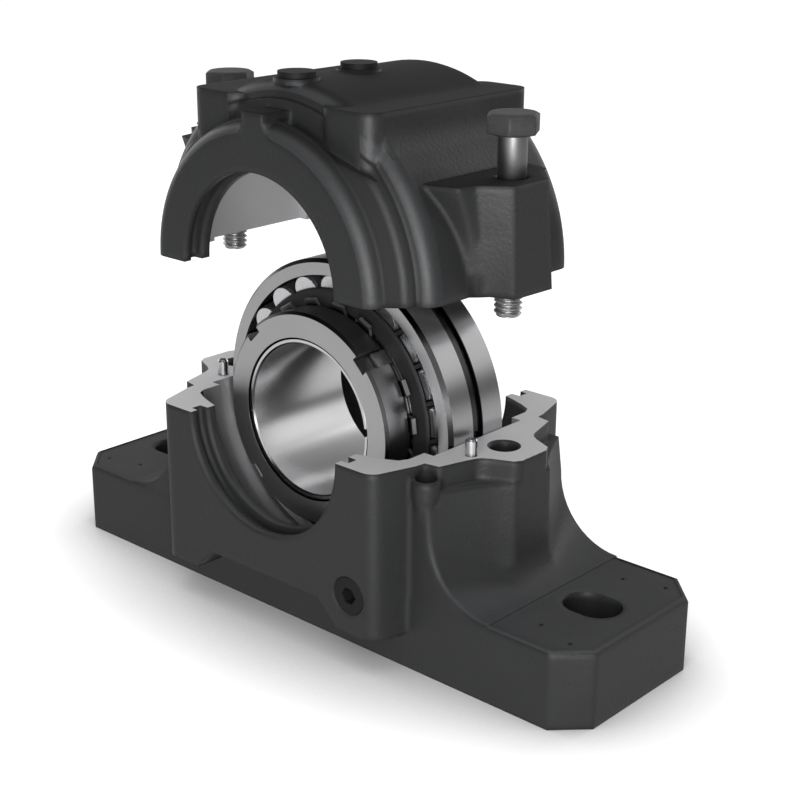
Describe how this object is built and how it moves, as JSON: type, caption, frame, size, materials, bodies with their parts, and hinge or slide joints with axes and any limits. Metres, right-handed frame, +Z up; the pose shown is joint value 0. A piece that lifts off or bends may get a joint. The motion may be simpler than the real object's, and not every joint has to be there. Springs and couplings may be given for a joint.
{
  "type": "bearing housing",
  "caption": "Split bearing housing drawn apart: cast base with slotted feet, lifted cap with bolts, and a barrel roller bearing on a slit tapered sleeve with a slotted nut.",
  "frame": {"origin": "middle of the base's underside, below the middle of the bearing", "axes": "+X along the foot, +Y along the shaft with the nut side at -Y, +Z up"},
  "size_m": [0.275, 0.11, 0.2128],
  "materials": {
    "casting": "dark grey painted casting with bare machined faces",
    "black_plug": "black",
    "zinc_steel": "bright zinc plated",
    "ground_steel": "ground and polished bearing steel",
    "turned_steel": "fine turned steel",
    "black_cage": "dark treated pressed steel"
  },
  "bodies": {
    "housing": {"housing_base": "casting", "drain_plug": "black_plug", "dowel_pin_left": "zinc_steel", "dowel_pin_right": "zinc_steel"},
    "cap": {"housing_cap": "casting", "grease_plug_centre": "black_plug", "grease_plug_front": "black_plug"},
    "bolt_left": {"cap_bolt_left": "zinc_steel"},
    "bolt_right": {"cap_bolt_right": "zinc_steel"},
    "bearing_ring": {"outer_ring": "ground_steel"},
    "guide": {"guide_ring": "ground_steel"},
    "shaft_group": {"inner_ring": "ground_steel", "adapter_sleeve": "turned_steel", "lock_nut": "turned_steel", "lock_washer": "turned_steel"},
    "front_cage": {"cage_front": "black_cage"},
    "rear_cage": {"cage_rear": "black_cage"},
    "roller_front_1": {"roller_front_1": "ground_steel"},
    "roller_front_2": {"roller_front_2": "ground_steel"},
    "roller_front_3": {"roller_front_3": "ground_steel"},
    "roller_front_4": {"roller_front_4": "ground_steel"},
    "roller_front_5": {"roller_front_5": "ground_steel"},
    "roller_front_6": {"roller_front_6": "ground_steel"},
    "roller_front_7": {"roller_front_7": "ground_steel"},
    "roller_front_8": {"roller_front_8": "ground_steel"},
    "roller_front_9": {"roller_front_9": "ground_steel"},
    "roller_front_10": {"roller_front_10": "ground_steel"},
    "roller_front_11": {"roller_front_11": "ground_steel"},
    "roller_front_12": {"roller_front_12": "ground_steel"},
    "roller_front_13": {"roller_front_13": "ground_steel"},
    "roller_front_14": {"roller_front_14": "ground_steel"},
    "roller_front_15": {"roller_front_15": "ground_steel"},
    "roller_front_16": {"roller_front_16": "ground_steel"},
    "roller_front_17": {"roller_front_17": "ground_steel"},
    "roller_front_18": {"roller_front_18": "ground_steel"},
    "roller_front_19": {"roller_front_19": "ground_steel"},
    "roller_front_20": {"roller_front_20": "ground_steel"},
    "roller_front_21": {"roller_front_21": "ground_steel"},
    "roller_rear_1": {"roller_rear_1": "ground_steel"},
    "roller_rear_2": {"roller_rear_2": "ground_steel"},
    "roller_rear_3": {"roller_rear_3": "ground_steel"},
    "roller_rear_4": {"roller_rear_4": "ground_steel"},
    "roller_rear_5": {"roller_rear_5": "ground_steel"},
    "roller_rear_6": {"roller_rear_6": "ground_steel"},
    "roller_rear_7": {"roller_rear_7": "ground_steel"},
    "roller_rear_8": {"roller_rear_8": "ground_steel"},
    "roller_rear_9": {"roller_rear_9": "ground_steel"},
    "roller_rear_10": {"roller_rear_10": "ground_steel"},
    "roller_rear_11": {"roller_rear_11": "ground_steel"},
    "roller_rear_12": {"roller_rear_12": "ground_steel"},
    "roller_rear_13": {"roller_rear_13": "ground_steel"},
    "roller_rear_14": {"roller_rear_14": "ground_steel"},
    "roller_rear_15": {"roller_rear_15": "ground_steel"},
    "roller_rear_16": {"roller_rear_16": "ground_steel"},
    "roller_rear_17": {"roller_rear_17": "ground_steel"},
    "roller_rear_18": {"roller_rear_18": "ground_steel"},
    "roller_rear_19": {"roller_rear_19": "ground_steel"},
    "roller_rear_20": {"roller_rear_20": "ground_steel"},
    "roller_rear_21": {"roller_rear_21": "ground_steel"}
  },
  "joints": [
    {"name": "cap_lift", "type": "slide", "parent": "housing", "child": "cap", "axis": [0, 0, 1], "range_m": [-0.06, 0.04]},
    {"name": "bolt_left_slide", "type": "slide", "parent": "cap", "child": "bolt_left", "axis": [0, 0, 1], "range_m": [-0.015, 0.055]},
    {"name": "bolt_right_slide", "type": "slide", "parent": "cap", "child": "bolt_right", "axis": [0, 0, 1], "range_m": [-0.015, 0.055]},
    {"name": "bearing_float", "type": "slide", "parent": "housing", "child": "bearing_ring", "axis": [0, 1, 0], "range_m": [-0.008, 0.008]},
    {"name": "bearing_tilt", "type": "hinge", "parent": "bearing_ring", "child": "guide", "pos_m": [0, 0, 0.08], "axis": [1, 0, 0], "range_deg": [-2, 2]},
    {"name": "shaft_turn", "type": "hinge", "parent": "guide", "child": "shaft_group", "pos_m": [0, 0, 0.08], "axis": [0, 1, 0], "continuous": true},
    {"name": "cage_front_turn", "type": "hinge", "parent": "guide", "child": "front_cage", "pos_m": [0, 0, 0.08], "axis": [0, 1, 0], "continuous": true},
    {"name": "cage_rear_turn", "type": "hinge", "parent": "guide", "child": "rear_cage", "pos_m": [0, 0, 0.08], "axis": [0, 1, 0], "continuous": true},
    {"name": "roller_front_1_turn", "type": "hinge", "parent": "front_cage", "child": "roller_front_1", "pos_m": [0.04845, -0.0076, 0.08634], "axis": [0.1524, 0.9881, 0.02], "continuous": true},
    {"name": "roller_front_2_turn", "type": "hinge", "parent": "front_cage", "child": "roller_front_2", "pos_m": [0.04442, -0.0076, 0.10034], "axis": [0.1397, 0.9881, 0.064], "continuous": true},
    {"name": "roller_front_3_turn", "type": "hinge", "parent": "front_cage", "child": "roller_front_3", "pos_m": [0.03645, -0.0076, 0.11253], "axis": [0.1147, 0.9881, 0.1023], "continuous": true},
    {"name": "roller_front_4_turn", "type": "hinge", "parent": "front_cage", "child": "roller_front_4", "pos_m": [0.02525, -0.0076, 0.12183], "axis": [0.0794, 0.9881, 0.1316], "continuous": true},
    {"name": "roller_front_5_turn", "type": "hinge", "parent": "front_cage", "child": "roller_front_5", "pos_m": [0.01179, -0.0076, 0.12742], "axis": [0.0371, 0.9881, 0.1492], "continuous": true},
    {"name": "roller_front_6_turn", "type": "hinge", "parent": "front_cage", "child": "roller_front_6", "pos_m": [-0.00271, -0.0076, 0.12879], "axis": [-0.0085, 0.9881, 0.1535], "continuous": true},
    {"name": "roller_front_7_turn", "type": "hinge", "parent": "front_cage", "child": "roller_front_7", "pos_m": [-0.01697, -0.0076, 0.12582], "axis": [-0.0534, 0.9881, 0.1441], "continuous": true},
    {"name": "roller_front_8_turn", "type": "hinge", "parent": "front_cage", "child": "roller_front_8", "pos_m": [-0.02972, -0.0076, 0.11878], "axis": [-0.0935, 0.9881, 0.122], "continuous": true},
    {"name": "roller_front_9_turn", "type": "hinge", "parent": "front_cage", "child": "roller_front_9", "pos_m": [-0.03983, -0.0076, 0.1083], "axis": [-0.1253, 0.9881, 0.089], "continuous": true},
    {"name": "roller_front_10_turn", "type": "hinge", "parent": "front_cage", "child": "roller_front_10", "pos_m": [-0.0464, -0.0076, 0.0953], "axis": [-0.146, 0.9881, 0.0481], "continuous": true},
    {"name": "roller_front_11_turn", "type": "hinge", "parent": "front_cage", "child": "roller_front_11", "pos_m": [-0.04885, -0.0076, 0.08095], "axis": [-0.1537, 0.9881, 0.003], "continuous": true},
    {"name": "roller_front_12_turn", "type": "hinge", "parent": "front_cage", "child": "roller_front_12", "pos_m": [-0.04696, -0.0076, 0.06651], "axis": [-0.1477, 0.9881, -0.0424], "continuous": true},
    {"name": "roller_front_13_turn", "type": "hinge", "parent": "front_cage", "child": "roller_front_13", "pos_m": [-0.0409, -0.0076, 0.05326], "axis": [-0.1286, 0.9881, -0.0841], "continuous": true},
    {"name": "roller_front_14_turn", "type": "hinge", "parent": "front_cage", "child": "roller_front_14", "pos_m": [-0.0312, -0.0076, 0.0424], "axis": [-0.0981, 0.9881, -0.1183], "continuous": true},
    {"name": "roller_front_15_turn", "type": "hinge", "parent": "front_cage", "child": "roller_front_15", "pos_m": [-0.01873, -0.0076, 0.03487], "axis": [-0.0589, 0.9881, -0.142], "continuous": true},
    {"name": "roller_front_16_turn", "type": "hinge", "parent": "front_cage", "child": "roller_front_16", "pos_m": [-0.0046, -0.0076, 0.03136], "axis": [-0.0145, 0.9881, -0.153], "continuous": true},
    {"name": "roller_front_17_turn", "type": "hinge", "parent": "front_cage", "child": "roller_front_17", "pos_m": [0.00995, -0.0076, 0.03216], "axis": [0.0313, 0.9881, -0.1505], "continuous": true},
    {"name": "roller_front_18_turn", "type": "hinge", "parent": "front_cage", "child": "roller_front_18", "pos_m": [0.0236, -0.0076, 0.03722], "axis": [0.0743, 0.9881, -0.1346], "continuous": true},
    {"name": "roller_front_19_turn", "type": "hinge", "parent": "front_cage", "child": "roller_front_19", "pos_m": [0.03517, -0.0076, 0.04608], "axis": [0.1106, 0.9881, -0.1067], "continuous": true},
    {"name": "roller_front_20_turn", "type": "hinge", "parent": "front_cage", "child": "roller_front_20", "pos_m": [0.0436, -0.0076, 0.05795], "axis": [0.1372, 0.9881, -0.0694], "continuous": true},
    {"name": "roller_front_21_turn", "type": "hinge", "parent": "front_cage", "child": "roller_front_21", "pos_m": [0.04816, -0.0076, 0.07178], "axis": [0.1515, 0.9881, -0.0259], "continuous": true},
    {"name": "roller_rear_1_turn", "type": "hinge", "parent": "rear_cage", "child": "roller_rear_1", "pos_m": [0.04696, 0.0076, 0.09349], "axis": [-0.1477, 0.9881, -0.0424], "continuous": true},
    {"name": "roller_rear_2_turn", "type": "hinge", "parent": "rear_cage", "child": "roller_rear_2", "pos_m": [0.0409, 0.0076, 0.10674], "axis": [-0.1286, 0.9881, -0.0841], "continuous": true},
    {"name": "roller_rear_3_turn", "type": "hinge", "parent": "rear_cage", "child": "roller_rear_3", "pos_m": [0.0312, 0.0076, 0.1176], "axis": [-0.0981, 0.9881, -0.1183], "continuous": true},
    {"name": "roller_rear_4_turn", "type": "hinge", "parent": "rear_cage", "child": "roller_rear_4", "pos_m": [0.01873, 0.0076, 0.12513], "axis": [-0.0589, 0.9881, -0.142], "continuous": true},
    {"name": "roller_rear_5_turn", "type": "hinge", "parent": "rear_cage", "child": "roller_rear_5", "pos_m": [0.0046, 0.0076, 0.12864], "axis": [-0.0145, 0.9881, -0.153], "continuous": true},
    {"name": "roller_rear_6_turn", "type": "hinge", "parent": "rear_cage", "child": "roller_rear_6", "pos_m": [-0.00995, 0.0076, 0.12784], "axis": [0.0313, 0.9881, -0.1505], "continuous": true},
    {"name": "roller_rear_7_turn", "type": "hinge", "parent": "rear_cage", "child": "roller_rear_7", "pos_m": [-0.0236, 0.0076, 0.12278], "axis": [0.0743, 0.9881, -0.1346], "continuous": true},
    {"name": "roller_rear_8_turn", "type": "hinge", "parent": "rear_cage", "child": "roller_rear_8", "pos_m": [-0.03517, 0.0076, 0.11392], "axis": [0.1106, 0.9881, -0.1067], "continuous": true},
    {"name": "roller_rear_9_turn", "type": "hinge", "parent": "rear_cage", "child": "roller_rear_9", "pos_m": [-0.0436, 0.0076, 0.10205], "axis": [0.1372, 0.9881, -0.0694], "continuous": true},
    {"name": "roller_rear_10_turn", "type": "hinge", "parent": "rear_cage", "child": "roller_rear_10", "pos_m": [-0.04816, 0.0076, 0.08822], "axis": [0.1515, 0.9881, -0.0259], "continuous": true},
    {"name": "roller_rear_11_turn", "type": "hinge", "parent": "rear_cage", "child": "roller_rear_11", "pos_m": [-0.04845, 0.0076, 0.07366], "axis": [0.1524, 0.9881, 0.02], "continuous": true},
    {"name": "roller_rear_12_turn", "type": "hinge", "parent": "rear_cage", "child": "roller_rear_12", "pos_m": [-0.04442, 0.0076, 0.05966], "axis": [0.1397, 0.9881, 0.064], "continuous": true},
    {"name": "roller_rear_13_turn", "type": "hinge", "parent": "rear_cage", "child": "roller_rear_13", "pos_m": [-0.03645, 0.0076, 0.04747], "axis": [0.1147, 0.9881, 0.1023], "continuous": true},
    {"name": "roller_rear_14_turn", "type": "hinge", "parent": "rear_cage", "child": "roller_rear_14", "pos_m": [-0.02525, 0.0076, 0.03817], "axis": [0.0794, 0.9881, 0.1316], "continuous": true},
    {"name": "roller_rear_15_turn", "type": "hinge", "parent": "rear_cage", "child": "roller_rear_15", "pos_m": [-0.01179, 0.0076, 0.03258], "axis": [0.0371, 0.9881, 0.1492], "continuous": true},
    {"name": "roller_rear_16_turn", "type": "hinge", "parent": "rear_cage", "child": "roller_rear_16", "pos_m": [0.00271, 0.0076, 0.03121], "axis": [-0.0085, 0.9881, 0.1535], "continuous": true},
    {"name": "roller_rear_17_turn", "type": "hinge", "parent": "rear_cage", "child": "roller_rear_17", "pos_m": [0.01697, 0.0076, 0.03418], "axis": [-0.0534, 0.9881, 0.1441], "continuous": true},
    {"name": "roller_rear_18_turn", "type": "hinge", "parent": "rear_cage", "child": "roller_rear_18", "pos_m": [0.02972, 0.0076, 0.04122], "axis": [-0.0935, 0.9881, 0.122], "continuous": true},
    {"name": "roller_rear_19_turn", "type": "hinge", "parent": "rear_cage", "child": "roller_rear_19", "pos_m": [0.03983, 0.0076, 0.0517], "axis": [-0.1253, 0.9881, 0.089], "continuous": true},
    {"name": "roller_rear_20_turn", "type": "hinge", "parent": "rear_cage", "child": "roller_rear_20", "pos_m": [0.0464, 0.0076, 0.0647], "axis": [-0.146, 0.9881, 0.0481], "continuous": true},
    {"name": "roller_rear_21_turn", "type": "hinge", "parent": "rear_cage", "child": "roller_rear_21", "pos_m": [0.04885, 0.0076, 0.07905], "axis": [-0.1537, 0.9881, 0.003], "continuous": true}
  ],
  "couplings": [
    {"joint": "cage_front_turn", "follows": "shaft_turn", "ratio": 0.4373},
    {"joint": "cage_rear_turn", "follows": "shaft_turn", "ratio": 0.4373},
    {"joint": "roller_front_1_turn", "follows": "shaft_turn", "ratio": -3.8784},
    {"joint": "roller_front_2_turn", "follows": "shaft_turn", "ratio": -3.8784},
    {"joint": "roller_front_3_turn", "follows": "shaft_turn", "ratio": -3.8784},
    {"joint": "roller_front_4_turn", "follows": "shaft_turn", "ratio": -3.8784},
    {"joint": "roller_front_5_turn", "follows": "shaft_turn", "ratio": -3.8784},
    {"joint": "roller_front_6_turn", "follows": "shaft_turn", "ratio": -3.8784},
    {"joint": "roller_front_7_turn", "follows": "shaft_turn", "ratio": -3.8784},
    {"joint": "roller_front_8_turn", "follows": "shaft_turn", "ratio": -3.8784},
    {"joint": "roller_front_9_turn", "follows": "shaft_turn", "ratio": -3.8784},
    {"joint": "roller_front_10_turn", "follows": "shaft_turn", "ratio": -3.8784},
    {"joint": "roller_front_11_turn", "follows": "shaft_turn", "ratio": -3.8784},
    {"joint": "roller_front_12_turn", "follows": "shaft_turn", "ratio": -3.8784},
    {"joint": "roller_front_13_turn", "follows": "shaft_turn", "ratio": -3.8784},
    {"joint": "roller_front_14_turn", "follows": "shaft_turn", "ratio": -3.8784},
    {"joint": "roller_front_15_turn", "follows": "shaft_turn", "ratio": -3.8784},
    {"joint": "roller_front_16_turn", "follows": "shaft_turn", "ratio": -3.8784},
    {"joint": "roller_front_17_turn", "follows": "shaft_turn", "ratio": -3.8784},
    {"joint": "roller_front_18_turn", "follows": "shaft_turn", "ratio": -3.8784},
    {"joint": "roller_front_19_turn", "follows": "shaft_turn", "ratio": -3.8784},
    {"joint": "roller_front_20_turn", "follows": "shaft_turn", "ratio": -3.8784},
    {"joint": "roller_front_21_turn", "follows": "shaft_turn", "ratio": -3.8784},
    {"joint": "roller_rear_1_turn", "follows": "shaft_turn", "ratio": -3.8784},
    {"joint": "roller_rear_2_turn", "follows": "shaft_turn", "ratio": -3.8784},
    {"joint": "roller_rear_3_turn", "follows": "shaft_turn", "ratio": -3.8784},
    {"joint": "roller_rear_4_turn", "follows": "shaft_turn", "ratio": -3.8784},
    {"joint": "roller_rear_5_turn", "follows": "shaft_turn", "ratio": -3.8784},
    {"joint": "roller_rear_6_turn", "follows": "shaft_turn", "ratio": -3.8784},
    {"joint": "roller_rear_7_turn", "follows": "shaft_turn", "ratio": -3.8784},
    {"joint": "roller_rear_8_turn", "follows": "shaft_turn", "ratio": -3.8784},
    {"joint": "roller_rear_9_turn", "follows": "shaft_turn", "ratio": -3.8784},
    {"joint": "roller_rear_10_turn", "follows": "shaft_turn", "ratio": -3.8784},
    {"joint": "roller_rear_11_turn", "follows": "shaft_turn", "ratio": -3.8784},
    {"joint": "roller_rear_12_turn", "follows": "shaft_turn", "ratio": -3.8784},
    {"joint": "roller_rear_13_turn", "follows": "shaft_turn", "ratio": -3.8784},
    {"joint": "roller_rear_14_turn", "follows": "shaft_turn", "ratio": -3.8784},
    {"joint": "roller_rear_15_turn", "follows": "shaft_turn", "ratio": -3.8784},
    {"joint": "roller_rear_16_turn", "follows": "shaft_turn", "ratio": -3.8784},
    {"joint": "roller_rear_17_turn", "follows": "shaft_turn", "ratio": -3.8784},
    {"joint": "roller_rear_18_turn", "follows": "shaft_turn", "ratio": -3.8784},
    {"joint": "roller_rear_19_turn", "follows": "shaft_turn", "ratio": -3.8784},
    {"joint": "roller_rear_20_turn", "follows": "shaft_turn", "ratio": -3.8784},
    {"joint": "roller_rear_21_turn", "follows": "shaft_turn", "ratio": -3.8784}
  ]
}
